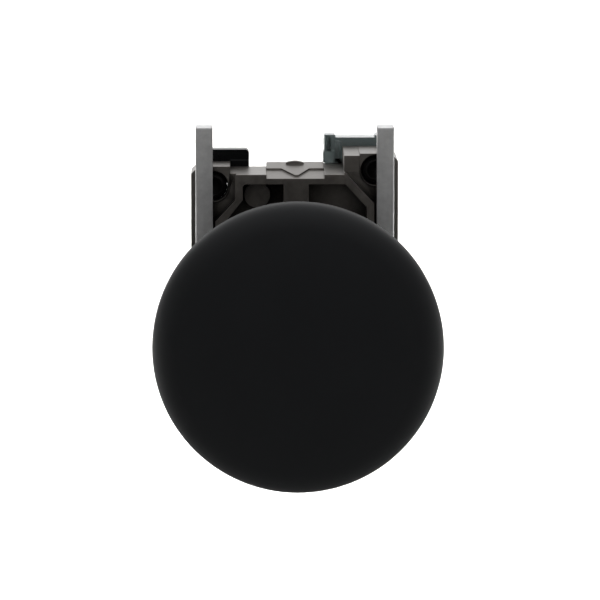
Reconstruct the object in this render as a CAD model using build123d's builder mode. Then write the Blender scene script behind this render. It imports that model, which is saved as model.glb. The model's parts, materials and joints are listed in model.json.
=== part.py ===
from build123d import *
import os
from math import asin, cos, degrees, radians, sin, sqrt

# Mushroom push button of the 22 mm class: head, panel clamp and one contact block.
#
# Frame: the origin is the centre of the panel hole on the panel's front face.
# X runs to the operator's right, Y runs rearward into the enclosure along the
# push axis, and Z runs up. The head stands on the -Y side of the panel.

os.makedirs("parts", exist_ok=True)

# ---------------------------------------------------------------- dimensions
# All in millimetres.

# Clearances
running = 0.08          # radial, between a shaft and its guide
passing = 0.3           # between parts that only move past each other
stop_gap = 0.1          # between two faces that meet at a stop
fitted = 0.1            # between parts that are assembled and then stay

# Mushroom cap
cap_diameter = 40.0
cap_projection = 39.0   # panel face to the top of the crown
crown_radius = 38.0
cap_edge_radius = 6.0
cap_band = 1.8          # straight side between the two edge roundings
cap_rear_radius = 4.0
cap_wall = 2.2
cap_lip = 1.0           # flat rim around the opening at the back of the cap
flare_height = 5.5

# Push motion
travel = 4.3
contact_travel = 2.6    # the contact closes here

# Bezel, neck and bayonet
panel_hole = 22.5
neck_play = 0.25        # radial, neck in the panel hole
neck_wall = 1.5
stem_land = 1.5         # neck bore to stem, the width of the stem's stop ring
bayonet_depth = 0.8
lug_thickness = 2.0
lug_width = 4.2
bezel_height = 12.0
bezel_recess_depth = 8.0
bezel_lip = 1.0
bezel_taper = 1.3
guide_rear = 8.0        # end of the stem's guide, behind the panel face
key_width = 2.6
key_height = 1.0
key_length = 1.0
neck_recess = 1.8       # neck end inside the collar's rear face
gasket_thickness = 0.6
seal_thickness = 2.4
seat_thickness = 0.6

# Head return spring
spring_wire = 1.1
spring_gap = 0.65       # radial, coil to stem and coil to skirt
skirt_wall = 1.1

# Panel clamp
panel_max = 6.0         # thickest panel
bar_width = 2.5
bar_thickness = 2.2
bar_inset = 1.92        # collar side to the middle of the bar
bar_rise = 6.7          # bar end above the frame's top
bar_foot = 2.0          # bar end inside the level of the collar's half width
bar_return = 3.9        # depth of the bent top end
bar_return_thickness = 1.1
bar_stroke = 5.0
tongue_width = 1.4
tongue_height = 3.8
tongue_grip = 1.8       # tongue left in its guide at the end of the stroke
upper_tongue_inset = 4.0
lower_tongue_inset = 4.5
screw_diameter = 4.0
screw_set_back = 0.75   # screw end inside the collar's rear face
left_screw_drop = 2.13  # below the frame's top
right_screw_rise = 0.16
screw_inset = 3.25      # collar side to screw centre
boss_wall = 0.3
hole_chamfer = 0.25

# Collar
collar_depth = 13.0     # frame front to collar rear
frame_step = 1.0        # frame front behind the retracted clamp bars
frame_wall = 1.1
frame_rise = 5.32       # frame top above the level of the collar's half width
top_wall = 1.73
top_draft = 0.33        # fall of the cast top faces from rear to front
collar_side = 0.6       # wall outside the retainer
corner_cut = 3.0
ear_corner = 1.1
left_ear_rise = 0.75
left_ear_width = 5.68
right_ear_rise = 2.6
right_ear_width = 7.83
pocket_back = 1.0       # wall between the pockets and the latch ring
bore_play = 0.2
hub_wall = 2.0
rib_left = -1.6
rib_right = 2.0
deck_left = -4.07
deck_right = 4.29
deck_fall = 0.9         # front of the deck below the frame's top
deck_rise = 0.4         # rear of the deck above the frame's top
arrow_step = 0.25
arrow_reach = 3.9       # length of the arrow's point
hump_rise = 0.25

# Latch ring and lever
latch_thickness = 2.0
latch_width = 2.3
tab_play = 0.2
tab_width = 4.0
latch_tail = 4.15       # lever foot beyond the latch ring
retainer_thickness = 1.2
retainer_lap = 0.7
lever_outset = 0.78     # collar side to the handle's left end
lever_length = 7.65
lever_rise = 2.42       # handle above the frame's top
lever_bar_height = 2.05
swing_start = -48.0     # room for the lever, degrees to the right of the top
lever_arm_width = 2.9
lever_depth = 3.3
release_angle = 24.0

# Contact block
block_width = 9.8
block_depth = 23.0
block_rise = 1.8        # block top above the frame's top
block_foot = 1.92       # block end below the level of the collar's half width
block_head = 2.0        # rise of the block's front end above its top
block_head_depth = 4.0
post_rise = 0.4
block_wall = 1.2
block_side = 0.6        # collar side to block side
tip_width = 2.8
tip_height = 3.0
tip_inset = 1.4         # block side to the side of the plunger's tip
carrier_height = 6.8
carrier_margin = 0.5    # carrier to the block's inner walls
window_wall = 2.4
window_rear_wall = 3.0
bridge_length = 14.0
bridge_width = 4.0
strip_thickness = 0.8
strip_width = 5.6
contact_radius = 1.4
contact_thickness = 0.8
contact_offset = 5.6    # push axis to each contact point
terminal_inset = 6.7    # block end to terminal screw
terminal_head_radius = 2.9
terminal_head = 2.0
terminal_recess = 0.4
terminal_thread = 3.5
terminal_stroke = 2.0
wire_slack = 0.3        # wire gap beyond the clamp's stroke
clamp_plate = 1.0
clamp_side = 6.2
nut_side = 5.4
nut_thickness = 2.2
nut_shelf = 2.0
spring_pocket = 2.0

# ------------------------------------------------------------ derived places
cap_radius = cap_diameter / 2
edge_centre_radius = cap_radius - cap_edge_radius
crown_centre = crown_radius - cap_projection
edge_centre = crown_centre - sqrt((crown_radius - cap_edge_radius) ** 2 - edge_centre_radius**2)
rear_centre = edge_centre + cap_band
rear_centre_radius = cap_radius - cap_rear_radius
cap_rear = rear_centre + cap_rear_radius
cap_opening = rear_centre_radius - cap_lip
web_front = cap_rear - cap_wall

neck_radius = panel_hole / 2 - neck_play
neck_bore = neck_radius - neck_wall
stem_radius = neck_bore - stem_land
guide_radius = stem_radius + running
driver_radius = neck_bore - passing
coil_inner = stem_radius + spring_gap
coil_outer = coil_inner + spring_wire
skirt_inner = coil_outer + spring_gap
skirt_outer = skirt_inner + skirt_wall
recess_radius = skirt_outer + 2 * passing + fitted
bezel_front_radius = recess_radius + bezel_lip
bezel_radius = bezel_front_radius + bezel_taper
bezel_front = -bezel_height
recess_floor = bezel_front + bezel_recess_depth
seal_front = recess_floor - seal_thickness
seat_front = seal_front - seat_thickness
skirt_rear = seat_front - travel - passing

bar_front = panel_max
bar_rear = bar_front + bar_thickness
ear_front = bar_rear + passing
frame_front = panel_max + frame_step
collar_rear = frame_front + collar_depth
neck_rear = collar_rear - neck_recess
lug_front = neck_rear - lug_thickness
latch_rear = lug_front - stop_gap
latch_front = latch_rear - latch_thickness
latch_recess_front = latch_front - stop_gap
pocket_floor = latch_recess_front - pocket_back
groove_radius = neck_radius - bayonet_depth
latch_outer = neck_radius + passing + latch_width
latch_recess = latch_outer + running
retainer_radius = latch_recess + retainer_lap
collar_half = retainer_radius + collar_side
collar_bore = neck_radius + bore_play
hub_radius = collar_bore + hub_wall
lever_slot_front = latch_rear - stop_gap
bar_centre = collar_half - bar_inset
frame_top = collar_half + frame_rise
collar_bottom = -collar_half
ear_left_top = frame_top + left_ear_rise
ear_right_top = frame_top + right_ear_rise
bar_top = frame_top + bar_rise
bar_bottom = bar_foot - collar_half
tongue_length = bar_stroke + tongue_grip
upper_tongue = collar_half - upper_tongue_inset
lower_tongue = lower_tongue_inset - collar_half
screw_x = collar_half - screw_inset
left_screw_height = frame_top - left_screw_drop
right_screw_height = frame_top + right_screw_rise
screw_radius = screw_diameter / 2 - fitted / 2
screw_hole = screw_radius + running
boss_radius = screw_hole + boss_wall
boss_front = bar_rear + stop_gap
lever_left = lever_outset - collar_half
lever_right = lever_left + lever_length
lever_top = frame_top + lever_rise
swing_end = release_angle - 15
frame_half = bar_centre - bar_width / 2 - passing

driver_rear = collar_rear - travel - passing
driver_thickness = 2.8
driver_front = driver_rear - driver_thickness
ring_front = guide_rear + stop_gap
ring_thickness = 0.9

block_right = collar_half - block_side
block_left = block_right - block_width
block_rear = collar_rear + block_depth
block_top = frame_top + block_rise
block_bottom = -collar_half - block_foot
block_head_top = block_top + block_head
inner_left = block_left + block_wall
inner_right = block_right - block_wall
inner_front = collar_rear + block_wall
inner_rear = block_rear - block_wall
block_middle = (inner_left + inner_right) / 2
head_rear = block_rear - terminal_recess
head_front = head_rear - terminal_head
plate_front = head_front - clamp_plate
strip_rear = plate_front - terminal_stroke - wire_slack
strip_front = strip_rear - strip_thickness
fixed_tip_front = strip_front - contact_thickness
moving_tip_rear = fixed_tip_front - contact_travel - fitted / 2
bridge_rear = moving_tip_rear - contact_thickness
bridge_front = bridge_rear - strip_thickness
carrier_front = inner_front + 2 * stop_gap
window_front = carrier_front + window_wall
window_rear = bridge_rear + stop_gap
carrier_rear = window_rear + window_rear_wall
tip_left = block_left + tip_inset
tip_front = driver_rear + stop_gap
terminal_height = {"upper": block_top - terminal_inset, "lower": block_bottom + terminal_inset}

pieces = {}


# ------------------------------------------------------------------- helpers
def facing(y):
    """Return the plane across the push axis at y, with its normal to the front."""
    return Plane.XZ.offset(-y)


def block(x, y, z, mode=Mode.ADD):
    """Add a rectangular block; x, y and z are each (low, high)."""
    with Locations(((x[0] + x[1]) / 2, (y[0] + y[1]) / 2, (z[0] + z[1]) / 2)):
        Box(x[1] - x[0], y[1] - y[0], z[1] - z[0], mode=mode)


def ramp(x, y, z, level, mode=Mode.ADD):
    """Fill from a level to a slope that runs from z[0] at y[0] to z[1] at y[1]."""
    with BuildSketch(Plane.YZ.offset(x[0])) as side:
        with BuildLine():
            Polyline((y[0], level), (y[0], z[0]), (y[1], z[1]), (y[1], level), close=True)
        make_face()
    extrude(side.sketch, amount=x[1] - x[0], mode=mode)


def rod(x, z, radius, y, mode=Mode.ADD):
    """Add a cylinder parallel to the push axis at (x, z); y is (front, rear)."""
    with Locations(Location((x, (y[0] + y[1]) / 2, z), (90, 0, 0))):
        Cylinder(radius, y[1] - y[0], mode=mode)


def clock(radius, angle):
    """Return (x, z) at a radius and at an angle in degrees to the right of the top."""
    return (radius * sin(radians(angle)), radius * cos(radians(angle)))


# ---------------------------------------------------------------------- head
with BuildPart() as mushroom_cap:
    # Outer and inner skins share their centres, a wall's thickness apart.
    crown_angle = degrees(asin(edge_centre_radius / (crown_radius - cap_edge_radius)))
    edge = (edge_centre_radius, edge_centre)
    edge_sweep = (crown_angle - 90, 90 - crown_angle)
    inner_radius = cap_radius - cap_wall
    with BuildSketch():
        with BuildLine():
            CenterArc((0, crown_centre), crown_radius, -90, crown_angle)
            CenterArc(edge, cap_edge_radius, *edge_sweep)
            Line((cap_radius, edge_centre), (cap_radius, rear_centre))
            CenterArc((rear_centre_radius, rear_centre), cap_rear_radius, 0, 90)
            Polyline(
                (rear_centre_radius, cap_rear),
                (cap_opening, cap_rear),
                (cap_opening, web_front),
                (rear_centre_radius, web_front),
            )
            CenterArc((rear_centre_radius, rear_centre), cap_rear_radius - cap_wall, 0, 90)
            Line((inner_radius, rear_centre), (inner_radius, edge_centre))
            CenterArc(edge, cap_edge_radius - cap_wall, *edge_sweep)
            CenterArc((0, crown_centre), crown_radius - cap_wall, -90, crown_angle)
            Line((0, cap_wall - cap_projection), (0, -cap_projection))
        make_face()
    revolve(axis=Axis.Y)
pieces["mushroom_cap"] = mushroom_cap

with BuildPart() as cap_skirt:
    flare_end = cap_rear + flare_height
    flare_width = cap_opening - skirt_outer
    with BuildSketch():
        with BuildLine():
            Polyline(
                (skirt_outer, flare_end),
                (skirt_outer, skirt_rear),
                (skirt_inner, skirt_rear),
                (skirt_inner, cap_rear),
                (stem_radius, cap_rear),
                (stem_radius, web_front),
                (cap_opening, web_front),
                (cap_opening, cap_rear),
            )
            ThreePointArc(
                (cap_opening, cap_rear),
                (skirt_outer + 0.25 * flare_width, cap_rear + 0.27 * flare_height),
                (skirt_outer, flare_end),
            )
        make_face()
    revolve(axis=Axis.Y)
pieces["cap_skirt"] = cap_skirt

with BuildPart() as plunger:
    flange_thickness = 1.8
    tube_bore = stem_radius - 1.8
    groove_depth = 0.75
    rod(0, 0, stem_radius + 3.0, (web_front - flange_thickness, web_front))
    rod(0, 0, stem_radius, (web_front, driver_front))
    rod(0, 0, tube_bore, (web_front + 1.0, driver_front), Mode.SUBTRACT)
    with BuildSketch(facing(ring_front + ring_thickness)):
        Circle(stem_radius + 1)
        Circle(stem_radius - groove_depth, mode=Mode.SUBTRACT)
    extrude(amount=ring_thickness, mode=Mode.SUBTRACT)
pieces["plunger"] = plunger

with BuildPart() as retaining_ring:
    with BuildSketch(facing(ring_front + ring_thickness)):
        Circle(driver_radius)
        Circle(stem_radius - groove_depth, mode=Mode.SUBTRACT)
        with Locations((0, -stem_radius)):
            Rectangle(4.0, 6.0, mode=Mode.SUBTRACT)
    extrude(amount=ring_thickness)
pieces["retaining_ring"] = retaining_ring

with BuildPart() as driver_disc:
    spigot_length = 3.0
    rod(0, 0, driver_radius, (driver_front, driver_rear))
    chamfer(edges().filter_by(GeomType.CIRCLE), 0.4)
    rod(0, 0, tube_bore, (driver_front - spigot_length, driver_front))
    rod(0, 0, tube_bore - 1.6, (driver_front - spigot_length, driver_front), Mode.SUBTRACT)
pieces["driver_disc"] = driver_disc

with BuildPart() as return_spring:
    rod(0, 0, coil_outer, (cap_rear, seat_front))
    rod(0, 0, coil_inner, (cap_rear, seat_front), Mode.SUBTRACT)
pieces["return_spring"] = return_spring

with BuildPart() as bezel:
    with BuildSketch():
        with BuildLine():
            Polyline(
                (guide_radius, recess_floor),
                (recess_radius, recess_floor),
                (recess_radius, bezel_front),
                (bezel_front_radius, bezel_front),
                (bezel_radius, -gasket_thickness - 1.6),
                (bezel_radius, -gasket_thickness),
                (neck_radius, -gasket_thickness),
                (neck_radius, latch_recess_front),
                (groove_radius, latch_recess_front),
                (groove_radius, neck_rear),
                (neck_bore, neck_rear),
                (neck_bore, guide_rear),
                (guide_radius, guide_rear),
                close=True,
            )
        make_face()
    revolve(axis=Axis.Y)
    front_rim = edges().filter_by(GeomType.CIRCLE).group_by(Axis.Y)[0].sort_by(SortBy.RADIUS)[-1]
    fillet(front_rim, bezel_lip * 0.6)
    with BuildSketch(facing(neck_rear)):
        for turn in (45, 135):
            Rectangle(2 * neck_radius + 2, lug_width, rotation=turn)
        Circle(neck_radius, mode=Mode.INTERSECT)
        Circle(groove_radius - fitted, mode=Mode.SUBTRACT)
    extrude(amount=lug_thickness)
    block(
        (-key_width / 2, key_width / 2),
        (-gasket_thickness, key_length),
        (neck_radius - 0.5, neck_radius + key_height),
    )
pieces["bezel"] = bezel

with BuildPart() as panel_gasket:
    rod(0, 0, bezel_radius - 0.3, (-gasket_thickness, 0))
    rod(0, 0, neck_radius + fitted, (-gasket_thickness, 0), Mode.SUBTRACT)
    block(
        (-key_width / 2 - fitted, key_width / 2 + fitted),
        (-gasket_thickness, 0),
        (0, neck_radius + key_height + fitted),
        Mode.SUBTRACT,
    )
pieces["panel_gasket"] = panel_gasket

with BuildPart() as wiper_seal:
    lip_width = 1.2
    rod(0, 0, recess_radius, (seal_front, recess_floor))
    rod(0, 0, stem_radius + running / 2, (seal_front, recess_floor), Mode.SUBTRACT)
    with BuildSketch(facing(recess_floor - 0.8)):
        Circle(recess_radius - lip_width)
        Circle(stem_radius + lip_width, mode=Mode.SUBTRACT)
    extrude(amount=0.8, mode=Mode.SUBTRACT)
pieces["wiper_seal"] = wiper_seal

with BuildPart() as spring_seat:
    rod(0, 0, recess_radius - fitted, (seat_front, seal_front))
    rod(0, 0, stem_radius + passing, (seat_front, seal_front), Mode.SUBTRACT)
pieces["spring_seat"] = spring_seat

# -------------------------------------------------------------- panel collar
pocket_top = frame_top - top_wall
deck_low = frame_top - deck_fall
deck_high = frame_top + deck_rise
deck_x = (deck_left, deck_right)
deck_y = (frame_front, lever_slot_front)
arrow_base = frame_front + 5.1
ear_left_side = left_ear_width - collar_half
ear_right_side = collar_half - right_ear_width
swing_reach = 2 * collar_half + bar_top
swing = (clock(swing_reach, swing_start), clock(swing_reach, swing_end))

with BuildPart() as arrow_pad:
    ramp(deck_x, deck_y, (deck_low + arrow_step, deck_high + arrow_step), pocket_top)
    with BuildSketch(Plane.XY.offset(pocket_top)):
        with BuildLine():
            Polyline(
                (deck_left, lever_slot_front),
                (deck_left, arrow_base),
                (-1.92, arrow_base),
                (0.0, arrow_base - arrow_reach),
                (0.55, arrow_base - arrow_reach),
                (2.2, arrow_base),
                (deck_right, arrow_base),
                (deck_right, lever_slot_front),
                close=True,
            )
        make_face()
    extrude(amount=deck_high, mode=Mode.INTERSECT)

with BuildPart() as mounting_collar:
    # The cast slab behind the clamp bars, with an ear at each upper corner.
    with BuildSketch(facing(collar_rear)):
        with BuildLine():
            Polyline(
                (-collar_half, collar_bottom + corner_cut),
                (-collar_half + corner_cut, collar_bottom),
                (collar_half - corner_cut, collar_bottom),
                (collar_half, collar_bottom + corner_cut),
                (collar_half, ear_right_top - ear_corner),
                (collar_half - ear_corner, ear_right_top),
                (ear_right_side, ear_right_top),
                (ear_right_side, frame_top),
                (ear_left_side, frame_top),
                (ear_left_side, ear_left_top),
                (-collar_half + ear_corner, ear_left_top),
                (-collar_half, ear_left_top - ear_corner),
                close=True,
            )
        make_face()
    extrude(amount=collar_rear - ear_front)
    # The raised frame, drawn in at its upper corners to clear the screws.
    frame_foot = collar_bottom + 0.5
    with BuildSketch(facing(ear_front)):
        with BuildLine():
            Polyline(
                (-frame_half, frame_foot + 5.5),
                (-7.0, frame_foot),
                (7.0, frame_foot),
                (frame_half, frame_foot + 5.5),
                (frame_half, frame_top - 4.5),
                (ear_right_side + 0.15, frame_top),
                (ear_left_side + 0.7, frame_top),
                (ear_left_side + 0.7, frame_top - 4.0),
                (-frame_half, frame_top - 7.15),
                close=True,
            )
        make_face()
        fillet(vertices().group_by(Axis.Y)[-1], 0.8)
    extrude(amount=ear_front - frame_front)
    # Pockets between the frame, the hub and the centre rib.
    pocket_half = frame_half - frame_wall
    with BuildSketch(facing(pocket_floor)):
        with BuildLine():
            Polyline(
                (-pocket_half, frame_foot + 5.9),
                (-6.6, frame_foot + frame_wall),
                (6.6, frame_foot + frame_wall),
                (pocket_half, frame_foot + 5.9),
                (pocket_half, frame_top - 5.1),
                (ear_right_side + 0.18, pocket_top),
                (ear_left_side + 0.7 + frame_wall, pocket_top),
                (ear_left_side + 0.7 + frame_wall, frame_top - 4.0),
                (-pocket_half, frame_top - 7.65),
                close=True,
            )
        make_face()
        fillet(vertices().group_by(Axis.Y)[-1], 0.5)
        Circle(hub_radius, mode=Mode.SUBTRACT)
        with Locations(((rib_left + rib_right) / 2, 0)):
            Rectangle(rib_right - rib_left, 2 * frame_top, mode=Mode.SUBTRACT)
    extrude(amount=pocket_floor - frame_front, mode=Mode.SUBTRACT)
    rod(-5.4, frame_top - 3.6, 1.9, (pocket_floor - 2.6, pocket_floor))
    # Draft on the top faces, the sloped deck with its arrow-shaped pad, and a low hump behind.
    above = ear_right_top + 1
    drafted = (frame_top - top_draft, frame_top)
    ramp((ear_left_side, ear_right_side), deck_y, drafted, above, Mode.SUBTRACT)
    drafted = (ear_right_top - top_draft, ear_right_top)
    ramp((ear_right_side, screw_x - boss_radius), (ear_front, collar_rear), drafted, above, Mode.SUBTRACT)
    ramp(deck_x, deck_y, (deck_low, deck_high), above, Mode.SUBTRACT)
    ramp(deck_x, deck_y, (deck_low, deck_high), pocket_top)
    add(arrow_pad.part)
    crest = deck_high + arrow_step
    with BuildSketch(facing(lever_slot_front)):
        with BuildLine():
            ThreePointArc((-1.2, crest), (0.1, crest + hump_rise), (1.4, crest))
            Polyline((1.4, crest), (1.4, pocket_top), (-1.2, pocket_top), (-1.2, crest))
        make_face()
    extrude(amount=1.6)
    # Bore for the neck, recesses for the latch ring and its retainer.
    rod(0, 0, collar_bore, (frame_front - 1, collar_rear), Mode.SUBTRACT)
    rod(0, 0, latch_recess, (latch_recess_front, collar_rear), Mode.SUBTRACT)
    rod(0, 0, retainer_radius, (lug_front, collar_rear), Mode.SUBTRACT)
    # Room for the lever's swing, and for the latch ring's tail.
    with BuildSketch(facing(collar_rear)):
        with BuildLine():
            Polyline((0, 0), *swing, close=True)
        make_face()
    extrude(amount=collar_rear - lever_slot_front, mode=Mode.SUBTRACT)
    with BuildSketch(facing(lever_slot_front)):
        with BuildLine():
            Polyline((0, 0), *swing, close=True)
        make_face()
        Circle(latch_outer + latch_tail + passing, mode=Mode.INTERSECT)
    extrude(amount=lever_slot_front - latch_recess_front, mode=Mode.SUBTRACT)
    # Bosses on the ears with the clamp screws' threaded holes, chamfered in front.
    for x, z, top in (
        (-screw_x, left_screw_height, ear_left_top),
        (screw_x, right_screw_height, ear_right_top),
    ):
        with BuildSketch(facing(ear_front)):
            with Locations((x, z)):
                Circle(boss_radius)
            with Locations((x, (z + top) / 2)):
                Rectangle(2 * boss_radius, top - z)
        extrude(amount=ear_front - boss_front)
        rod(x, z, screw_hole, (boss_front, collar_rear), Mode.SUBTRACT)
        with BuildSketch(facing(boss_front)):
            with Locations((x, z)):
                Circle(screw_hole + hole_chamfer)
        extrude(amount=-hole_chamfer, taper=45, mode=Mode.SUBTRACT)
    # Guides for the clamp bars' tongues.
    for side in (-1, 1):
        for z in (upper_tongue, lower_tongue):
            centre = side * bar_centre
            half = tongue_width / 2 + fitted
            block(
                (centre - half, centre + half),
                (boss_front, bar_rear + tongue_length + 2 * passing),
                (z - tongue_height / 2 - fitted, z + tongue_height / 2 + fitted),
                Mode.SUBTRACT,
            )
    # Hook slots for contact blocks in the rear face.
    hook_top = (collar_half - 1.8, collar_half + 0.2)
    hook_bottom = (0.8 - collar_half, 2.4 - collar_half)
    hook_side = (collar_half - 6.4, collar_half - 3.0)
    hook_y = (collar_rear - 3, collar_rear)
    block(hook_side, hook_y, hook_top, Mode.SUBTRACT)
    block(hook_side, hook_y, hook_bottom, Mode.SUBTRACT)
    block((-hook_side[1], -hook_side[0]), hook_y, hook_bottom, Mode.SUBTRACT)
pieces["mounting_collar"] = mounting_collar

# ------------------------------------------------------- latch ring and lever
arm = (lever_right - lever_arm_width, lever_right)
arm_foot = sqrt((neck_radius + passing) ** 2 - arm[1] ** 2) + passing
tail_top = sqrt((latch_outer + latch_tail) ** 2 - arm[0] ** 2)
rivet_heights = (tail_top - 3.6, tail_top - 1.2)
rivet_radius = 0.6

with BuildPart() as latch_ring:
    rod(0, 0, latch_outer, (latch_front, latch_rear))
    rod(0, 0, neck_radius + passing, (latch_front, latch_rear), Mode.SUBTRACT)
    with BuildSketch(facing(latch_rear)):
        for turn in (45, 135):
            Rectangle(2 * latch_outer, tab_width, rotation=turn)
        Circle(neck_radius + 2 * passing, mode=Mode.INTERSECT)
        Circle(groove_radius + tab_play, mode=Mode.SUBTRACT)
    extrude(amount=latch_thickness)
    block(arm, (latch_front, latch_rear), (arm_foot, tail_top))
    for z in rivet_heights:
        rod(sum(arm) / 2, z, rivet_radius, (latch_front, latch_rear), Mode.SUBTRACT)
pieces["latch_ring"] = latch_ring

with BuildPart() as lock_lever:
    lever_front = latch_rear + 2 * stop_gap
    lever_rear = lever_front + lever_depth
    handle = (lever_top - lever_bar_height, lever_top)
    block((lever_left, lever_right), (lever_front, lever_rear), handle)
    fillet(edges().filter_by(Axis.Y).group_by(Axis.Z)[-1], 0.6)
    block(arm, (latch_rear, lever_rear), (arm_foot, handle[0] + 0.5))
    for z in rivet_heights:
        rod(sum(arm) / 2, z, rivet_radius, (latch_rear, lever_rear), Mode.SUBTRACT)
pieces["lock_lever"] = lock_lever

with BuildPart() as lever_rivets:
    for z in rivet_heights:
        rod(sum(arm) / 2, z, rivet_radius, (latch_front, lever_rear))
        rod(sum(arm) / 2, z, rivet_radius * 1.6, (lever_rear, lever_rear + 0.4))
pieces["lever_rivets"] = lever_rivets

with BuildPart() as ring_retainer:
    with BuildSketch(facing(lug_front + retainer_thickness)):
        Circle(retainer_radius - running)
        Circle(neck_radius + 2 * passing, mode=Mode.SUBTRACT)
        with BuildLine():
            Polyline((0, 0), clock(swing_reach, swing_start - 4), clock(swing_reach, swing_end), close=True)
        make_face(mode=Mode.SUBTRACT)
    extrude(amount=retainer_thickness)
pieces["ring_retainer"] = ring_retainer


# --------------------------------------------------------- clamp bars, screws
for side, screw_height in (("left", left_screw_height), ("right", right_screw_height)):
    sign = -1 if side == "left" else 1
    centre = sign * bar_centre
    bar_x = (centre - bar_width / 2, centre + bar_width / 2)
    with BuildPart() as clamp_bar:
        block(bar_x, (bar_front, bar_rear), (bar_bottom, bar_top))
        block(bar_x, (bar_front, bar_front + bar_return), (bar_top - bar_return_thickness, bar_top))
        fillet(edges().filter_by(Axis.X).group_by(Axis.Z)[-1].sort_by(Axis.Y)[0], 0.5)
        for z in (upper_tongue, lower_tongue):
            block(
                (centre - tongue_width / 2, centre + tongue_width / 2),
                (bar_rear, bar_rear + tongue_length),
                (z - tongue_height / 2, z + tongue_height / 2),
            )
    pieces[f"clamp_bar_{side}"] = clamp_bar

    with BuildPart() as clamp_screw:
        screw_rear = collar_rear - screw_set_back
        rod(sign * screw_x, screw_height, screw_radius, (bar_rear + stop_gap / 2, screw_rear))
        chamfer(edges().filter_by(GeomType.CIRCLE), 0.35)
        with BuildSketch(facing(screw_rear)):
            with Locations((sign * screw_x, screw_height)):
                Rectangle(screw_diameter, 0.7)
        extrude(amount=1.4, mode=Mode.SUBTRACT)
    pieces[f"clamp_screw_{side}"] = clamp_screw

# ------------------------------------------------------------- contact block
plunger_axis = tip_left + tip_width / 2
carrier_x = (inner_left + carrier_margin, inner_right - carrier_margin)
window_x = (carrier_x[0] + 1.0, carrier_x[1] - 1.0)
wire_entry = (block_middle - 2.5, block_middle + 2.5)
return_coil = 1.9
contact_coil = 1.5
coil_wall = 0.5

with BuildPart() as block_housing:
    block((block_left, inner_right), (collar_rear, block_rear), (block_bottom, block_top))
    chamfer(edges().filter_by(Axis.Y).group_by(Axis.X)[0], 0.4)
    block(
        (inner_left, inner_right),
        (inner_front, inner_rear),
        (block_bottom + block_wall, block_top - block_wall),
        Mode.SUBTRACT,
    )
    for height in terminal_height.values():
        # Shelf that carries the terminal's nut, and the screwdriver hole behind it.
        block(
            (inner_left, inner_right),
            (strip_front - nut_thickness - nut_shelf, strip_front - nut_thickness),
            (height - nut_side / 2, height + nut_side / 2),
        )
        rod(block_middle, height, terminal_thread / 2 + passing, (inner_front, inner_rear), Mode.SUBTRACT)
        rod(block_middle, height, terminal_head_radius + 0.2, (inner_rear, block_rear), Mode.SUBTRACT)
        wall_foot = block_top - block_wall if height > 0 else block_bottom
        wall = (wall_foot, wall_foot + block_wall)
        block(wire_entry, (strip_front - 0.3, plate_front + 0.3), wall, Mode.SUBTRACT)
    # Guide slot for the plunger's tip.
    block(
        (tip_left - 0.15, tip_left + tip_width + 0.15),
        (collar_rear, inner_front),
        (-tip_height / 2 - 0.15, tip_height / 2 + 0.15),
        Mode.SUBTRACT,
    )
    # Raised head at the front of the top, with a slotted corner post, a rounded rib and an end rail.
    head_y = (collar_rear, collar_rear + block_head_depth)
    head_foot = block_top - block_wall
    post_x = (block_left - 0.1, block_left + 1.55)
    block((post_x[1], inner_right), head_y, (head_foot, block_head_top))
    block((inner_right - 1.3, inner_right), head_y, (head_foot, block_head_top + 0.35))
    block(post_x, head_y, (head_foot, block_head_top + post_rise))
    block((post_x[0] - 0.15, post_x[0] + 0.3), head_y, (block_head_top - 3.7, block_head_top - 2.1))
    with Locations((post_x[1] + 0.35, collar_rear + 0.3, block_head_top - 1.8)):
        Cylinder(0.55, 2.6)
    slot_z = (block_head_top - 2.05, block_head_top + post_rise - 0.35)
    block((post_x[0] + 0.35, post_x[0] + 0.95), (collar_rear, head_y[1] - 0.8), slot_z, Mode.SUBTRACT)
    notch_z = (block_head_top - 3.6, block_head_top - 3.15)
    block((post_x[1], post_x[1] + 0.5), (collar_rear, collar_rear + 1), notch_z, Mode.SUBTRACT)
    # Hooks that snap into the collar.
    for slot in (hook_top, hook_bottom):
        block(
            (hook_side[0] + passing, hook_side[1] - passing),
            (collar_rear - 2.6, collar_rear + block_wall),
            (slot[0] + 0.2, slot[1] - 0.2),
        )
pieces["block_housing"] = block_housing

with BuildPart() as block_cover:
    block((inner_right, block_right), (collar_rear, block_rear), (block_bottom, block_top))
    chamfer(faces().sort_by(Axis.X)[-1].edges(), 0.4)
    for height in (block_bottom + 3.4, block_top - 3.4):
        with Locations(Location((block_right, collar_rear + 4.5, height), (0, 90, 0))):
            Cylinder(1.2, 0.8, mode=Mode.SUBTRACT)
pieces["block_cover"] = block_cover

with BuildPart() as block_plunger:
    block(
        (tip_left, tip_left + tip_width),
        (tip_front, carrier_front + 1),
        (-tip_height / 2, tip_height / 2),
    )
    fillet(faces().sort_by(Axis.Y)[0].edges(), 0.4)
    block(carrier_x, (carrier_front, carrier_rear), (-carrier_height / 2, carrier_height / 2))
    block(window_x, (window_front, window_rear), (-carrier_height / 2, carrier_height / 2), Mode.SUBTRACT)
    rod(block_middle, 0, return_coil + passing, (carrier_rear - spring_pocket, carrier_rear), Mode.SUBTRACT)
pieces["block_plunger"] = block_plunger

with BuildPart() as contact_bridge:
    half = bridge_width / 2
    block(
        (block_middle - half, block_middle + half),
        (bridge_front, bridge_rear),
        (-bridge_length / 2, bridge_length / 2),
    )
    chamfer(edges().filter_by(Axis.Y), 0.8)
pieces["contact_bridge"] = contact_bridge

with BuildPart() as bridge_tips:
    for z in (-contact_offset, contact_offset):
        rod(block_middle, z, contact_radius, (bridge_rear, moving_tip_rear))
    chamfer(edges().filter_by(GeomType.CIRCLE).group_by(Axis.Y)[-1], 0.25)
pieces["bridge_tips"] = bridge_tips

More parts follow.
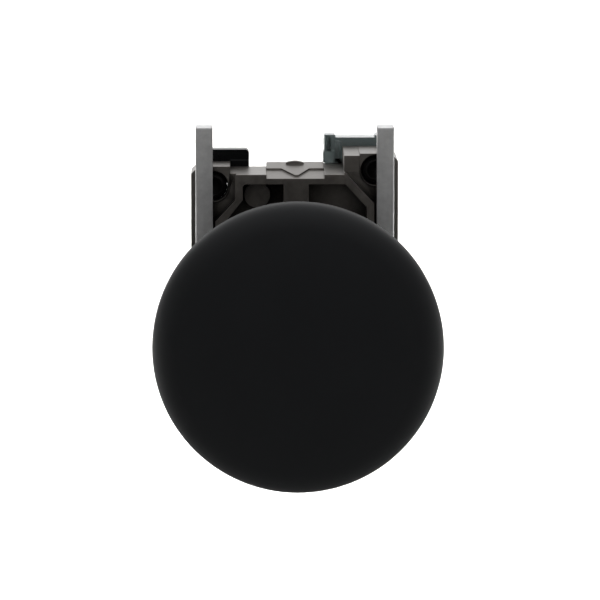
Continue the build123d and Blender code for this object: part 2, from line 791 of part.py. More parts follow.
with BuildPart() as contact_spring:
    rod(block_middle, 0, contact_coil, (window_front, bridge_front))
    rod(block_middle, 0, contact_coil - coil_wall, (window_front, bridge_front), Mode.SUBTRACT)
pieces["contact_spring"] = contact_spring

with BuildPart() as block_return_spring:
    rod(block_middle, 0, return_coil, (carrier_rear - spring_pocket, inner_rear))
    rod(block_middle, 0, return_coil - coil_wall, (carrier_rear - spring_pocket, inner_rear), Mode.SUBTRACT)
pieces["block_return_spring"] = block_return_spring

for place, height in terminal_height.items():
    outward = 1 if height > 0 else -1
    strip_ends = sorted((outward * (contact_offset - contact_radius), height + outward * 3.4))

    with BuildPart() as fixed_contact:
        block(
            (block_middle - strip_width / 2, block_middle + strip_width / 2),
            (strip_front, strip_rear),
            strip_ends,
        )
        rod(block_middle, height, terminal_thread / 2 + fitted, (strip_front, strip_rear), Mode.SUBTRACT)
    pieces[f"fixed_contact_{place}"] = fixed_contact

    with BuildPart() as fixed_tip:
        rod(block_middle, outward * contact_offset, contact_radius, (fixed_tip_front, strip_front))
        chamfer(edges().filter_by(GeomType.CIRCLE).group_by(Axis.Y)[0], 0.25)
    pieces[f"fixed_tip_{place}"] = fixed_tip

    with BuildPart() as terminal_nut:
        block(
            (block_middle - nut_side / 2, block_middle + nut_side / 2),
            (strip_front - nut_thickness, strip_front),
            (height - nut_side / 2, height + nut_side / 2),
        )
        rod(
            block_middle,
            height,
            terminal_thread / 2 + fitted / 2,
            (strip_front - nut_thickness, strip_front),
            Mode.SUBTRACT,
        )
    pieces[f"terminal_nut_{place}"] = terminal_nut

    with BuildPart() as wire_clamp:
        half = clamp_side / 2
        plate_y = (plate_front, head_front)
        block((block_middle - half, block_middle + half), plate_y, (height - half, height + half))
        chamfer(edges().filter_by(Axis.Y), 0.5)
        rod(block_middle, height, terminal_thread / 2 + fitted / 2, plate_y, Mode.SUBTRACT)
    pieces[f"wire_clamp_{place}"] = wire_clamp

    with BuildPart() as terminal_screw:
        shank_end = strip_front - nut_thickness / 2
        rod(block_middle, height, terminal_thread / 2 - fitted / 2, (shank_end, head_front))
        rod(block_middle, height, terminal_head_radius, (head_front + stop_gap / 5, head_rear))
        rod(block_middle, height, terminal_thread / 2 - fitted / 2, (head_front, head_rear))
        head_rim = edges().filter_by(GeomType.CIRCLE).group_by(Axis.Y)[-1]
        fillet(head_rim, 0.5)
        with BuildSketch(facing(head_rear)):
            with Locations((block_middle, height)):
                Rectangle(2 * terminal_head_radius + 1, 0.9)
        extrude(amount=1.0, mode=Mode.SUBTRACT)
    pieces[f"terminal_screw_{place}"] = terminal_screw

# -------------------------------------------------------------------- export
for name, piece in pieces.items():
    piece.part.label = name
    export_step(piece.part, f"parts/{name}.step")
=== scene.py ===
import json
from math import asin, cos, degrees, pi, radians, sin, sqrt

import bmesh
import bpy
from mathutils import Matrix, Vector

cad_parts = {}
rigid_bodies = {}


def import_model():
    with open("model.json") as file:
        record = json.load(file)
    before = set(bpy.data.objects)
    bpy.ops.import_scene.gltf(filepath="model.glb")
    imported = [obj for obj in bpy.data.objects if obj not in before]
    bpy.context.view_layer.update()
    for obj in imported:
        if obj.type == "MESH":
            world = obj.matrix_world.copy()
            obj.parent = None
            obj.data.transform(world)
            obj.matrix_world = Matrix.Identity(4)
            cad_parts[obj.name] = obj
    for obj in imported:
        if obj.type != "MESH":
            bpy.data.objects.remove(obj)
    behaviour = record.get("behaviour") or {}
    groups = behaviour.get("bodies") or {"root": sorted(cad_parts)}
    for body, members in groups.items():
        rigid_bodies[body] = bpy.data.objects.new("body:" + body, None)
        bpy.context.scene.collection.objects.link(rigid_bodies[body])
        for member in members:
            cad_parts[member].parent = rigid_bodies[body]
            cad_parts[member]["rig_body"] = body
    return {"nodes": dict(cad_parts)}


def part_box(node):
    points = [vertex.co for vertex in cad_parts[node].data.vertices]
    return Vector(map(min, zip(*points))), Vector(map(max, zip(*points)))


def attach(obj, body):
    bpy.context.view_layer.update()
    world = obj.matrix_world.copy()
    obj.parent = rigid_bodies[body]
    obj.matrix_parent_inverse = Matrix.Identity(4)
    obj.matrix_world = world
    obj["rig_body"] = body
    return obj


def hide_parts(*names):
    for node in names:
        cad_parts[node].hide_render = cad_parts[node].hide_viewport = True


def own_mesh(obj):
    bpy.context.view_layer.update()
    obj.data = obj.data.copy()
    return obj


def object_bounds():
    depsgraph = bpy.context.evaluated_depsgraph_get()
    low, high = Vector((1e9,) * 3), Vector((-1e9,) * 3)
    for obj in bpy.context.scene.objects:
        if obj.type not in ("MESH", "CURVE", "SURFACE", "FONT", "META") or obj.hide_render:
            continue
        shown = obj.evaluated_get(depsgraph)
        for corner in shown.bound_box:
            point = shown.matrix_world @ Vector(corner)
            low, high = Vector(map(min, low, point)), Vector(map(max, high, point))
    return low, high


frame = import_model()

cad_box = [list(corner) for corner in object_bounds()]
MM = 0.001

# ---------------------------------------------------------------- the camera
# A long lens a little above the push axis and slightly to the left of it.
CAMERA_ELEVATION = radians(7.6)
CAMERA_SWING = radians(0.79)
CAMERA_DISTANCE = 639 * MM
CAMERA_LENS = 278.9
CAP_MIDDLE = Vector((0, -27 * MM, 0))
AIM_RIGHT = 0.29 * MM
AIM_UP = 6.24 * MM

looking = Vector((
    sin(CAMERA_SWING) * cos(CAMERA_ELEVATION),
    cos(CAMERA_SWING) * cos(CAMERA_ELEVATION),
    -sin(CAMERA_ELEVATION),
))
rightward = Vector((cos(CAMERA_SWING), -sin(CAMERA_SWING), 0))
upward = rightward.cross(looking)
camera_data = bpy.data.cameras.new("studio_camera")
camera_data.lens = CAMERA_LENS
camera_data.sensor_width = 36
camera_data.clip_start = 0.01
camera_data.clip_end = 50
camera = bpy.data.objects.new("studio_camera", camera_data)
camera.location = CAP_MIDDLE + rightward * AIM_RIGHT + upward * AIM_UP - looking * CAMERA_DISTANCE
camera.rotation_euler = looking.to_track_quat("-Z", "Y").to_euler()
bpy.context.scene.collection.objects.link(camera)
bpy.context.scene.camera = camera


# ------------------------------------------------------------------- helpers
def linear(colour):
    """Turn an sRGB hex colour such as "#20242a" into a linear RGBA tuple."""
    channels = [int(colour[i:i + 2], 16) / 255 for i in (1, 3, 5)]
    return tuple(c / 12.92 if c <= 0.04045 else ((c + 0.055) / 1.055) ** 2.4 for c in channels) + (1.0,)


def add_node(tree, kind, values=None, links=None, **settings):
    """Add a node to a tree with its settings, its socket values and the sockets that feed it."""
    made = tree.nodes.new(kind)
    for name, value in settings.items():
        setattr(made, name, value)
    for name, value in (values or {}).items():
        made.inputs[name].default_value = value
    for name, source in (links or {}).items():
        tree.links.new(source, made.inputs[name])
    return made


def new_material(name, values):
    """Start a material from a principled shader with constant values; return it, its tree and shader."""
    material = bpy.data.materials.new(name)
    material.use_nodes = True
    tree = material.node_tree
    tree.nodes.clear()
    shader = add_node(tree, "ShaderNodeBsdfPrincipled", values)
    add_node(tree, "ShaderNodeOutputMaterial", links={"Surface": shader.outputs["BSDF"]})
    return material, tree, shader


def per_mm(size):
    """Pattern scale for features of a size given in millimetres, on coordinates in metres."""
    return 1 / (size * MM)


# ----------------------------------------------------------------- materials
def moulded_black_nylon():
    # Glass-filled nylon from a spark-eroded mould: deep black, a fine even grain and a soft sheen.
    material, tree, shader = new_material("moulded_black_nylon", {"Specular IOR Level": 0.11})
    place = add_node(tree, "ShaderNodeTexCoord").outputs["Object"]
    grain = add_node(tree, "ShaderNodeTexNoise", {"Scale": per_mm(0.35), "Detail": 3.0}, {"Vector": place})
    cloud = add_node(tree, "ShaderNodeTexNoise", {"Scale": per_mm(9.0), "Detail": 4.0}, {"Vector": place})
    colour = add_node(
        tree,
        "ShaderNodeMix",
        {"A": linear("#17181a"), "B": linear("#1d1e20")},
        {"Factor": cloud.outputs["Fac"]},
        data_type="RGBA",
    )
    tree.links.new(colour.outputs["Result"], shader.inputs["Base Color"])
    gloss = add_node(
        tree, "ShaderNodeMapRange", {"To Min": 0.56, "To Max": 0.66}, {"Value": cloud.outputs["Fac"]}
    )
    tree.links.new(gloss.outputs["Result"], shader.inputs["Roughness"])
    bump = add_node(
        tree, "ShaderNodeBump", {"Strength": 0.12, "Distance": 0.02 * MM}, {"Height": grain.outputs["Fac"]}
    )
    tree.links.new(bump.outputs["Normal"], shader.inputs["Normal"])
    return material


def bright_chrome_plate():
    # Polished chromium on zinc: mirror-like, with faint polishing haze round the ring.
    material, tree, shader = new_material(
        "bright_chrome_plate", {"Metallic": 1.0, "Base Color": linear("#cfd0d2")}
    )
    place = add_node(tree, "ShaderNodeTexCoord").outputs["Object"]
    haze = add_node(tree, "ShaderNodeTexNoise", {"Scale": per_mm(5.0), "Detail": 5.0}, {"Vector": place})
    gloss = add_node(
        tree, "ShaderNodeMapRange", {"To Min": 0.05, "To Max": 0.16}, {"Value": haze.outputs["Fac"]}
    )
    tree.links.new(gloss.outputs["Result"], shader.inputs["Roughness"])
    orange_peel = add_node(
        tree, "ShaderNodeBump", {"Strength": 0.05, "Distance": 0.02 * MM}, {"Height": haze.outputs["Fac"]}
    )
    tree.links.new(orange_peel.outputs["Normal"], shader.inputs["Normal"])
    return material


def nitrile_rubber():
    # Moulded nitrile rubber: near black, dull, with a faint powdery bloom.
    material, tree, shader = new_material("nitrile_rubber", {"Specular IOR Level": 0.3})
    place = add_node(tree, "ShaderNodeTexCoord").outputs["Object"]
    bloom = add_node(tree, "ShaderNodeTexNoise", {"Scale": per_mm(1.6), "Detail": 6.0}, {"Vector": place})
    colour = add_node(
        tree,
        "ShaderNodeMix",
        {"A": linear("#19191a"), "B": linear("#2b2b2b")},
        {"Factor": bloom.outputs["Fac"]},
        data_type="RGBA",
    )
    tree.links.new(colour.outputs["Result"], shader.inputs["Base Color"])
    gloss = add_node(
        tree, "ShaderNodeMapRange", {"To Min": 0.62, "To Max": 0.85}, {"Value": bloom.outputs["Fac"]}
    )
    tree.links.new(gloss.outputs["Result"], shader.inputs["Roughness"])
    bump = add_node(
        tree, "ShaderNodeBump", {"Strength": 0.25, "Distance": 0.03 * MM}, {"Height": bloom.outputs["Fac"]}
    )
    tree.links.new(bump.outputs["Normal"], shader.inputs["Normal"])
    return material


def cast_zinc_alloy():
    # Pressure-cast zinc left as cast: dull dark grey metal, satin skin, mottling and fine pitting, with
    # painted shade in its recesses.
    material, tree, shader = new_material("cast_zinc_alloy", {"Metallic": 1.0})
    place = add_node(tree, "ShaderNodeTexCoord").outputs["Object"]
    stretched = add_node(tree, "ShaderNodeMapping", {"Scale": (1.0, 0.6, 0.8)}, {"Vector": place})
    flow = add_node(
        tree,
        "ShaderNodeTexNoise",
        {"Scale": per_mm(1.5), "Detail": 8.0, "Roughness": 0.68, "Distortion": 0.35},
        {"Vector": stretched.outputs["Vector"]},
    )
    pits = add_node(tree, "ShaderNodeTexVoronoi", {"Scale": per_mm(0.42)}, {"Vector": place})
    skin = add_node(tree, "ShaderNodeTexNoise", {"Scale": per_mm(0.22), "Detail": 3.0}, {"Vector": place})
    colour = add_node(
        tree,
        "ShaderNodeMix",
        {"A": linear("#57534f"), "B": linear("#7b7773")},
        {"Factor": flow.outputs["Fac"]},
        data_type="RGBA",
    )
    # Painted shade: recesses are drawn darker than the lights alone leave them, by how enclosed the surface
    # is.
    recess = add_node(tree, "ShaderNodeAmbientOcclusion", {"Distance": 5.0 * MM}, samples=8)
    painted_shade_mask = add_node(
        tree, "ShaderNodeMapRange", {"From Min": 0.28, "From Max": 0.66}, {"Value": recess.outputs["AO"]}
    )
    painted_shade_colour = add_node(
        tree,
        "ShaderNodeMix",
        {"A": linear("#181614")},
        {"Factor": painted_shade_mask.outputs["Result"], "B": colour.outputs["Result"]},
        data_type="RGBA",
    )
    tree.links.new(painted_shade_colour.outputs["Result"], shader.inputs["Base Color"])
    gloss = add_node(
        tree, "ShaderNodeMapRange", {"To Min": 0.30, "To Max": 0.46}, {"Value": flow.outputs["Fac"]}
    )
    tree.links.new(gloss.outputs["Result"], shader.inputs["Roughness"])
    pitting = add_node(
        tree,
        "ShaderNodeBump",
        {"Strength": 0.10, "Distance": 0.04 * MM},
        {"Height": pits.outputs["Distance"]},
    )
    texture = add_node(
        tree,
        "ShaderNodeBump",
        {"Strength": 0.22, "Distance": 0.03 * MM},
        {"Height": skin.outputs["Fac"], "Normal": pitting.outputs["Normal"]},
    )
    tree.links.new(texture.outputs["Normal"], shader.inputs["Normal"])
    return material


def brushed_zinc_plated_steel():
    # Zinc-plated strip, drawn lengthwise: neutral grey with fine upright lines.
    material, tree, shader = new_material(
        "brushed_zinc_plated_steel", {"Metallic": 1.0, "Anisotropic": 0.45}
    )
    place = add_node(tree, "ShaderNodeTexCoord").outputs["Object"]
    drawn = add_node(tree, "ShaderNodeMapping", {"Scale": (1.0, 1.0, 0.02)}, {"Vector": place})
    lines = add_node(
        tree,
        "ShaderNodeTexNoise",
        {"Scale": per_mm(0.16), "Detail": 4.0},
        {"Vector": drawn.outputs["Vector"]},
    )
    spangle = add_node(tree, "ShaderNodeTexNoise", {"Scale": per_mm(0.8), "Detail": 5.0}, {"Vector": place})
    colour = add_node(
        tree,
        "ShaderNodeMix",
        {"A": linear("#a9a9aa"), "B": linear("#cfcfcf")},
        {"Factor": spangle.outputs["Fac"]},
        data_type="RGBA",
    )
    tree.links.new(colour.outputs["Result"], shader.inputs["Base Color"])
    gloss = add_node(
        tree, "ShaderNodeMapRange", {"To Min": 0.30, "To Max": 0.46}, {"Value": lines.outputs["Fac"]}
    )
    tree.links.new(gloss.outputs["Result"], shader.inputs["Roughness"])
    bump = add_node(
        tree, "ShaderNodeBump", {"Strength": 0.25, "Distance": 0.015 * MM}, {"Height": lines.outputs["Fac"]}
    )
    tree.links.new(bump.outputs["Normal"], shader.inputs["Normal"])
    return material


def black_oxide_steel():
    # Blackened steel screws: dark and oily, with a dull uneven shine.
    material, tree, shader = new_material("black_oxide_steel", {"Metallic": 0.5, "Specular IOR Level": 0.2})
    place = add_node(tree, "ShaderNodeTexCoord").outputs["Object"]
    oil = add_node(tree, "ShaderNodeTexNoise", {"Scale": per_mm(0.9), "Detail": 5.0}, {"Vector": place})
    colour = add_node(
        tree,
        "ShaderNodeMix",
        {"A": linear("#0c0c0d"), "B": linear("#1b1a19")},
        {"Factor": oil.outputs["Fac"]},
        data_type="RGBA",
    )
    tree.links.new(colour.outputs["Result"], shader.inputs["Base Color"])
    gloss = add_node(
        tree, "ShaderNodeMapRange", {"To Min": 0.42, "To Max": 0.60}, {"Value": oil.outputs["Fac"]}
    )
    tree.links.new(gloss.outputs["Result"], shader.inputs["Roughness"])
    return material


def glossy_black_nylon():
    # The lever's nylon, from a polished mould: black, with a dim narrow highlight and faint swirls.
    material, tree, shader = new_material("glossy_black_nylon", {"Specular IOR Level": 0.12})
    place = add_node(tree, "ShaderNodeTexCoord").outputs["Object"]
    swirl = add_node(
        tree,
        "ShaderNodeTexNoise",
        {"Scale": per_mm(2.4), "Detail": 4.0, "Distortion": 1.0},
        {"Vector": place},
    )
    colour = add_node(
        tree,
        "ShaderNodeMix",
        {"A": linear("#050608"), "B": linear("#0a0b0d")},
        {"Factor": swirl.outputs["Fac"]},
        data_type="RGBA",
    )
    tree.links.new(colour.outputs["Result"], shader.inputs["Base Color"])
    gloss = add_node(
        tree, "ShaderNodeMapRange", {"To Min": 0.22, "To Max": 0.36}, {"Value": swirl.outputs["Fac"]}
    )
    tree.links.new(gloss.outputs["Result"], shader.inputs["Roughness"])
    return material


def smoke_polycarbonate():
    # Smoke-tinted polycarbonate: glassy, cool grey-green, letting a little light into the case.
    material, tree, shader = new_material(
        "smoke_polycarbonate",
        {"IOR": 1.585, "Transmission Weight": 0.42, "Specular IOR Level": 0.35},
    )
    place = add_node(tree, "ShaderNodeTexCoord").outputs["Object"]
    tint = add_node(tree, "ShaderNodeTexNoise", {"Scale": per_mm(7.0), "Detail": 3.0}, {"Vector": place})
    grain = add_node(tree, "ShaderNodeTexNoise", {"Scale": per_mm(0.3), "Detail": 2.0}, {"Vector": place})
    colour = add_node(
        tree,
        "ShaderNodeMix",
        {"A": linear("#5f6969"), "B": linear("#707b7b")},
        {"Factor": tint.outputs["Fac"]},
        data_type="RGBA",
    )
    tree.links.new(colour.outputs["Result"], shader.inputs["Base Color"])
    gloss = add_node(
        tree, "ShaderNodeMapRange", {"To Min": 0.16, "To Max": 0.26}, {"Value": grain.outputs["Fac"]}
    )
    tree.links.new(gloss.outputs["Result"], shader.inputs["Roughness"])
    bump = add_node(
        tree, "ShaderNodeBump", {"Strength": 0.08, "Distance": 0.02 * MM}, {"Height": grain.outputs["Fac"]}
    )
    tree.links.new(bump.outputs["Normal"], shader.inputs["Normal"])
    return material


def moulded_acetal(name, dark, light):
    # Acetal: waxy and smooth, lit a little from within, with faint flow clouds.
    material, tree, shader = new_material(
        name, {"IOR": 1.48, "Subsurface Weight": 0.12, "Subsurface Scale": 0.6 * MM}
    )
    place = add_node(tree, "ShaderNodeTexCoord").outputs["Object"]
    cloud = add_node(tree, "ShaderNodeTexNoise", {"Scale": per_mm(3.0), "Detail": 4.0}, {"Vector": place})
    colour = add_node(
        tree,
        "ShaderNodeMix",
        {"A": linear(dark), "B": linear(light)},
        {"Factor": cloud.outputs["Fac"]},
        data_type="RGBA",
    )
    tree.links.new(colour.outputs["Result"], shader.inputs["Base Color"])
    gloss = add_node(
        tree, "ShaderNodeMapRange", {"To Min": 0.28, "To Max": 0.42}, {"Value": cloud.outputs["Fac"]}
    )
    tree.links.new(gloss.outputs["Result"], shader.inputs["Roughness"])
    return material


def worked_metal(name, dark, light, grain_mm, smooth, rough, stretch=(1.0, 1.0, 1.0)):
    # Rolled, drawn or stamped metal: its grain follows the way that it was worked.
    material, tree, shader = new_material(name, {"Metallic": 1.0})
    place = add_node(tree, "ShaderNodeTexCoord").outputs["Object"]
    worked = add_node(tree, "ShaderNodeMapping", {"Scale": stretch}, {"Vector": place})
    grain = add_node(
        tree,
        "ShaderNodeTexNoise",
        {"Scale": per_mm(grain_mm), "Detail": 5.0},
        {"Vector": worked.outputs["Vector"]},
    )
    colour = add_node(
        tree,
        "ShaderNodeMix",
        {"A": linear(dark), "B": linear(light)},
        {"Factor": grain.outputs["Fac"]},
        data_type="RGBA",
    )
    tree.links.new(colour.outputs["Result"], shader.inputs["Base Color"])
    gloss = add_node(
        tree, "ShaderNodeMapRange", {"To Min": smooth, "To Max": rough}, {"Value": grain.outputs["Fac"]}
    )
    tree.links.new(gloss.outputs["Result"], shader.inputs["Roughness"])
    bump = add_node(
        tree, "ShaderNodeBump", {"Strength": 0.12, "Distance": 0.01 * MM}, {"Height": grain.outputs["Fac"]}
    )
    tree.links.new(bump.outputs["Normal"], shader.inputs["Normal"])
    return material


nylon = moulded_black_nylon()
chrome = bright_chrome_plate()
rubber = nitrile_rubber()
zinc = cast_zinc_alloy()
bar_steel = brushed_zinc_plated_steel()
screw_steel = black_oxide_steel()
lever_nylon = glossy_black_nylon()
smoke_case = smoke_polycarbonate()
green_acetal = moulded_acetal("green_acetal", "#137a3a", "#1c8f49")
grey_acetal = moulded_acetal("pale_grey_acetal", "#b5b4ac", "#c6c5bd")
dark_acetal = moulded_acetal("dark_grey_acetal", "#2c2d2f", "#38393b")
# Drawn spring wire, stamped and plated sheet, rolled brass, pressed silver and nickel plate.
spring_wire = worked_metal("drawn_spring_wire", "#8f9092", "#b4b5b7", 0.2, 0.18, 0.34)
plated_sheet = worked_metal("zinc_plated_sheet", "#85878c", "#a6a8ab", 0.7, 0.26, 0.42)
brass = worked_metal("rolled_brass_strip", "#b58b3e", "#cfa555", 0.5, 0.20, 0.36, (1.0, 1.0, 0.08))
silver = worked_metal("silver_nickel_tip", "#c6c4c0", "#dedcd8", 0.3, 0.22, 0.40)
nickel = worked_metal("nickel_plated_steel", "#a5a39c", "#c3c1b9", 0.6, 0.16, 0.32)


# -------------------------------------------------------------- mesh helpers
# Faces within FLAT_ANGLE degrees of each other are one flat; edges past SHARP_ANGLE get rounded.
FLAT_ANGLE = 0.6
SHARP_ANGLE = 35
WELD_DISTANCE = 0.0005 * MM


def finish_piece(name, mesh, material, body, replaced=()):
    """Make an object of a mesh, give it its material and tie it to its body; the CAD nodes it replaces are
    hidden.
    """
    mesh.materials.clear()
    mesh.materials.append(material)
    mesh.polygons.foreach_set("use_smooth", [True] * len(mesh.polygons))
    piece = bpy.data.objects.new(name, mesh)
    bpy.context.scene.collection.objects.link(piece)
    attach(piece, body)
    if replaced:
        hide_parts(*replaced)
    return piece


def applied(piece):
    """Replace a piece's mesh by the result of its modifiers."""
    graph = bpy.context.evaluated_depsgraph_get()
    mesh = bpy.data.meshes.new_from_object(piece.evaluated_get(graph))
    piece.modifiers.clear()
    piece.data = mesh
    return piece


def softened(node, name, edge_mm, material, steps=2, split=False):
    """Stand a copy of a CAD node in its place, with every sharp edge rounded to a radius.

    Faces with thin rims round a hole are split into convex ones first, or rounding tears them.
    """
    mesh = frame["nodes"][node].data.copy()
    work = bmesh.new()
    work.from_mesh(mesh)
    bmesh.ops.remove_doubles(work, verts=work.verts, dist=WELD_DISTANCE)
    bmesh.ops.dissolve_limit(
        work, angle_limit=radians(FLAT_ANGLE), verts=work.verts, edges=work.edges
    )
    if split:
        bmesh.ops.connect_verts_concave(work, faces=work.faces)
    work.to_mesh(mesh)
    work.free()
    body = frame["nodes"][node]["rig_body"]
    piece = finish_piece(name, mesh, material, body, (node,))
    bevel = piece.modifiers.new("rounded_edges", "BEVEL")
    bevel.width = edge_mm * MM
    bevel.segments = steps
    bevel.limit_method = "ANGLE"
    bevel.angle_limit = radians(SHARP_ANGLE)
    bevel.use_clamp_overlap = False
    bevel.miter_outer = "MITER_ARC"
    weighted = piece.modifiers.new("flat_faces", "WEIGHTED_NORMAL")
    weighted.keep_sharp = True
    return applied(piece)


def arc(centre, radius, start, end, steps):
    """Points of an arc in the (radius, y) plane; angles in degrees from the radial direction."""
    points = []
    for i in range(steps + 1):
        angle = radians(start + (end - start) * i / steps)
        points.append((centre[0] + radius * cos(angle), centre[1] + radius * sin(angle)))
    return points


def lathe(name, profile, turns):
    """Spin a closed profile of (radius, y) points in millimetres about the push axis."""
    work = bmesh.new()
    rings = []
    for radius, y in profile:
        if radius < 1e-6:
            rings.append([work.verts.new((0, y * MM, 0))] * turns)
            continue
        ring = []
        for i in range(turns):
            angle = 2 * pi * i / turns
            ring.append(work.verts.new((radius * MM * sin(angle), y * MM, radius * MM * cos(angle))))
        rings.append(ring)
    count = len(rings)
    for a in range(count):
        first, second = rings[a], rings[(a + 1) % count]
        for i in range(turns):
            j = (i + 1) % turns
            corners = [first[i], first[j], second[j], second[i]]
            unique = []
            for corner in corners:
                if corner not in unique:
                    unique.append(corner)
            if len(unique) > 2:
                work.faces.new(unique)
    bmesh.ops.recalc_face_normals(work, faces=work.faces)
    mesh = bpy.data.meshes.new(name)
    work.to_mesh(mesh)
    work.free()
    return mesh


def size_mm(node):
    """Lowest and highest corners of a CAD node in millimetres."""
    low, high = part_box(node)
    return [c / MM for c in low], [c / MM for c in high]


def coil(name, centre, mean, wire, start, end, turns, material, body, node):
    """Wind a compression spring along the push axis, with closed end turns."""
    per_turn, section = 28, 10
    total = int(turns * per_turn)
    work = bmesh.new()
    rings = []
    for i in range(total + 1):
        turned = i / per_turn
        if turned < 1:
            y = start + wire / 2 + 0.1 * wire * turned
        elif turned > turns - 1:
            y = end - wire / 2 - 0.1 * wire * (turns - turned)
        else:
            lift = (end - start - 1.2 * wire) * (turned - 1) / (turns - 2)
            y = start + 0.6 * wire + lift
        angle = 2 * pi * turned
        ring = []
        for k in range(section):
            around = 2 * pi * k / section
            radius = mean + wire / 2 * cos(around)
            ring.append(work.verts.new((
                (centre[0] + radius * sin(angle)) * MM,
                (y + wire / 2 * sin(around)) * MM,
                (centre[1] + radius * cos(angle)) * MM,
            )))
        rings.append(ring)
    for first, second in zip(rings, rings[1:]):
        for k in range(section):
            m = (k + 1) % section
            work.faces.new((first[k], first[m], second[m], second[k]))
    work.faces.new(rings[0])
    work.faces.new(list(reversed(rings[-1])))
    bmesh.ops.recalc_face_normals(work, faces=work.faces)
    mesh = bpy.data.meshes.new(name)
    work.to_mesh(mesh)
    work.free()
    return finish_piece(name, mesh, material, body, (node,))


# A thread's depth as a share of its pitch, and how many rings of points draw one pitch.
THREAD_DEPTH = 0.6
STEPS_PER_PITCH = 10


def threaded_screw(name, node, pitch, material, body):
    """Make a socket set screw with a real helical thread where its CAD cylinder lies."""
    low, high = size_mm(node)
    x, z = (low[0] + high[0]) / 2, (low[2] + high[2]) / 2
    crest = (high[0] - low[0]) / 2
    root = crest - THREAD_DEPTH * pitch
    around, along = 36, int((high[1] - low[1]) / pitch * STEPS_PER_PITCH)
    work = bmesh.new()
    rings = []
    for j in range(along + 1):
        y = low[1] + (high[1] - low[1]) * j / along
        end_taper = min(1.0, min(y - low[1], high[1] - y) / pitch)
        ring = []
        for i in range(around):
            phase = (y / pitch - i / around) % 1
            tooth = abs(2 * phase - 1)
            radius = root + (crest - root) * min(tooth * 1.15, 1.0) * (0.35 + 0.65 * end_taper)
            radius -= (1 - end_taper) * 0.12 * crest
            angle = 2 * pi * i / around
            ring.append(work.verts.new((
                (x + radius * sin(angle)) * MM,
                y * MM,
                (z + radius * cos(angle)) * MM,
            )))
        rings.append(ring)
    for first, second in zip(rings, rings[1:]):
        for i in range(around):
            j = (i + 1) % around
            work.faces.new((first[i], first[j], second[j], second[i]))
    # A shallow dished point in front, a hexagon socket at the rear.
    for ring, side, painted_shade_mask, reach in ((rings[0], 1, 0.5, 0.62), (rings[-1], -1, 2.0, 0.5)):
        base = ring[0].co.y / MM
        previous = ring
        hexagonal = side < 0
        for step, (share, inset) in enumerate(((reach * 1.15, 0.0), (reach, 0.0), (reach, painted_shade_mask))):
            inner = []
            for i in range(around):
                angle = 2 * pi * i / around
                radius = crest * share
                if hexagonal and step > 0:
                    radius *= cos(pi / 6) / cos((angle % (pi / 3)) - pi / 6)
                inner.append(work.verts.new((
                    (x + radius * sin(angle)) * MM,
                    (base + side * inset) * MM,
                    (z + radius * cos(angle)) * MM,
                )))
            for i in range(around):
                j = (i + 1) % around
                work.faces.new((previous[i], previous[j], inner[j], inner[i]))
            previous = inner
        work.faces.new(previous)
    bmesh.ops.recalc_face_normals(work, faces=work.faces)
    mesh = bpy.data.meshes.new(name)
    work.to_mesh(mesh)
    work.free()
    finish_piece(name, mesh, material, body, (node,))


# ---------------------------------------------------------------------- head
CROWN_RADIUS = 38.0
EDGE_RADIUS = 6.0
REAR_RADIUS = 4.0
CAP_WALL = 2.2

cap_low, cap_high = size_mm("mushroom_cap")
cap_radius = cap_high[0]
crown_centre = cap_low[1] + CROWN_RADIUS
edge_x = cap_radius - EDGE_RADIUS
edge_y = crown_centre - sqrt((CROWN_RADIUS - EDGE_RADIUS) ** 2 - edge_x**2)
crown_angle = degrees(asin(edge_x / (CROWN_RADIUS - EDGE_RADIUS)))
rear_x = cap_radius - REAR_RADIUS
rear_y = cap_high[1] - REAR_RADIUS
opening = rear_x - 1.0


def cap_skin(wall):
    """Half section of the cap's skin at a depth below its outer face, from crown to rear edge."""
    points = arc((0, crown_centre), CROWN_RADIUS - wall, -90, crown_angle - 90, 40)
    points += arc((edge_x, edge_y), EDGE_RADIUS - wall, crown_angle - 90, 0, 24)[1:]
    points += arc((rear_x, rear_y), REAR_RADIUS - wall, 0, 90, 18)
    return points


cap_profile = cap_skin(0) + [(opening, cap_high[1]), (opening, cap_high[1] - CAP_WALL)]
cap_profile += list(reversed(cap_skin(CAP_WALL)))
cap_mesh = lathe("cap_shell", cap_profile, 256)
finish_piece("cap_shell", cap_mesh, nylon, "button", ("mushroom_cap",))

softened("cap_skirt", "cap_underside", 0.2, nylon, 3)
softened("plunger", "stem", 0.25, grey_acetal)
softened("driver_disc", "driver", 0.15, dark_acetal, 3)
softened("retaining_ring", "stop_ring", 0.1, plated_sheet)
softened("bezel", "bezel_ring", 0.12, chrome, 3)
softened("panel_gasket", "gasket", 0.12, rubber)
softened("wiper_seal", "stem_seal", 0.15, rubber)
softened("spring_seat", "seat_washer", 0.1, plated_sheet)

# -------------------------------------------------------------- panel collar
CLAMP_PITCH = 0.7

softened("mounting_collar", "collar_casting", 0.06, zinc, 3, split=True)
softened("latch_ring", "bayonet_ring", 0.12, plated_sheet)
softened("ring_retainer", "retainer", 0.1, plated_sheet)
softened("lock_lever", "lever", 0.12, lever_nylon, 3)
softened("lever_rivets", "rivets", 0.12, plated_sheet)
for side in ("left", "right"):
    softened(f"clamp_bar_{side}", f"bar_{side}", 0.22, bar_steel, 3)
    screw = f"clamp_screw_{side}"
    threaded_screw(f"set_screw_{side}", screw, CLAMP_PITCH, screw_steel, screw)

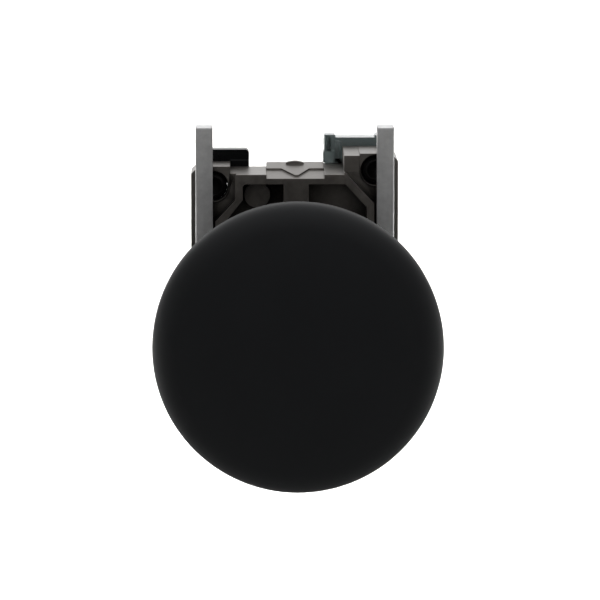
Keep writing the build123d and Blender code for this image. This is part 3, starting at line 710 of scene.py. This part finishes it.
# ------------------------------------------------------------- contact block
softened("block_housing", "case", 0.09, smoke_case, 3)
softened("block_cover", "case_cover", 0.12, smoke_case, 3)
softened("block_plunger", "contact_carrier", 0.15, green_acetal)
softened("contact_bridge", "bridge", 0.1, brass)
softened("bridge_tips", "moving_tips", 0.08, silver)
for place in ("upper", "lower"):
    softened(f"fixed_contact_{place}", f"contact_strip_{place}", 0.1, brass)
    softened(f"fixed_tip_{place}", f"strip_tip_{place}", 0.08, silver)
    softened(f"terminal_nut_{place}", f"nut_{place}", 0.15, nickel)
    softened(f"wire_clamp_{place}", f"clamp_plate_{place}", 0.15, nickel)
    softened(f"terminal_screw_{place}", f"screw_{place}", 0.12, nickel)

# ------------------------------------------------------------------- springs
SPRINGS = (
    # node, piece, body, wire in millimetres, turns
    ("return_spring", "head_spring", "base", 1.1, 6.5),
    ("block_return_spring", "block_spring", "base", 0.5, 6.0),
    ("contact_spring", "pressure_spring", "block_plunger", 0.5, 7.5),
)
springs = {}
for node, name, body, wire, turns in SPRINGS:
    low, high = size_mm(node)
    centre = ((low[0] + high[0]) / 2, (low[2] + high[2]) / 2)
    mean = (high[0] - low[0]) / 2 - wire / 2
    springs[name] = coil(
        name, centre, mean, wire, low[1], high[1], turns, spring_wire, body, node
    )
TRAVEL = 4.3
BRIDGE_TRAVEL = 2.6
for name, node, shortening, fixed_end in (
    ("head_spring", "return_spring", TRAVEL, 1),
    ("block_spring", "block_return_spring", TRAVEL, 1),
    ("pressure_spring", "contact_spring", TRAVEL - BRIDGE_TRAVEL, 0),
):
    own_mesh(springs[name])

# ------------------------------------------------------------ floor and light
FLOOR_DROP = 40 * MM
FLOOR_REACH = 6.0

floor_material, floor_tree, floor_shader = new_material(
    "pale_studio_floor", {"Base Color": linear("#d4d4d2"), "Roughness": 0.9, "Specular IOR Level": 0.1}
)
floor_mesh = bpy.data.meshes.new("studio_floor")
drop = cad_box[0][2] - FLOOR_DROP
floor_mesh.from_pydata(
    [
        (-FLOOR_REACH, -FLOOR_REACH, drop),
        (FLOOR_REACH, -FLOOR_REACH, drop),
        (FLOOR_REACH, FLOOR_REACH, drop),
        (-FLOOR_REACH, FLOOR_REACH, drop),
    ],
    [],
    [(0, 1, 2, 3)],
)
floor_mesh.materials.append(floor_material)
floor = bpy.data.objects.new("studio_floor", floor_mesh)
bpy.context.scene.collection.objects.link(floor)

# Surface brightness of each lamp; places, targets and sizes below are in metres.
OVERHEAD_GLOW = 0.75
BACK_GLOW = 1.15
FRONT_GLOW = 0.36
FLOOR_GLOW = 3.0


def softbox(name, place, target, size, glow, spread=180):
    """Hang a rectangular light of a given surface brightness that looks at a target."""
    data = bpy.data.lights.new(name, "AREA")
    data.shape = "RECTANGLE"
    data.size, data.size_y = size
    data.energy = glow * pi * size[0] * size[1]
    data.spread = radians(spread)
    lamp = bpy.data.objects.new(name, data)
    lamp.location = place
    lamp.rotation_euler = (Vector(target) - Vector(place)).to_track_quat("-Z", "Y").to_euler()
    bpy.context.scene.collection.objects.link(lamp)


softbox("overhead_softbox", (0, 0.2, 1.2), (0, 0.1, 0), (2.4, 1.8), OVERHEAD_GLOW)
softbox("back_softbox", (0, 2.8, 1.0), (0, 0, 0.6), (4.0, 2.0), BACK_GLOW)
softbox("floor_wash", (0, 1.25, 0.45), (0, 1.25, 0), (3.0, 2.3), FLOOR_GLOW, 36)

world = bpy.data.worlds.new("studio_world")
bpy.context.scene.world = world
world.use_nodes = True
world.node_tree.nodes["Background"].inputs["Color"].default_value = (1, 1, 1, 1)
world.node_tree.nodes["Background"].inputs["Strength"].default_value = FRONT_GLOW
bpy.context.scene.view_settings.view_transform = "Standard"
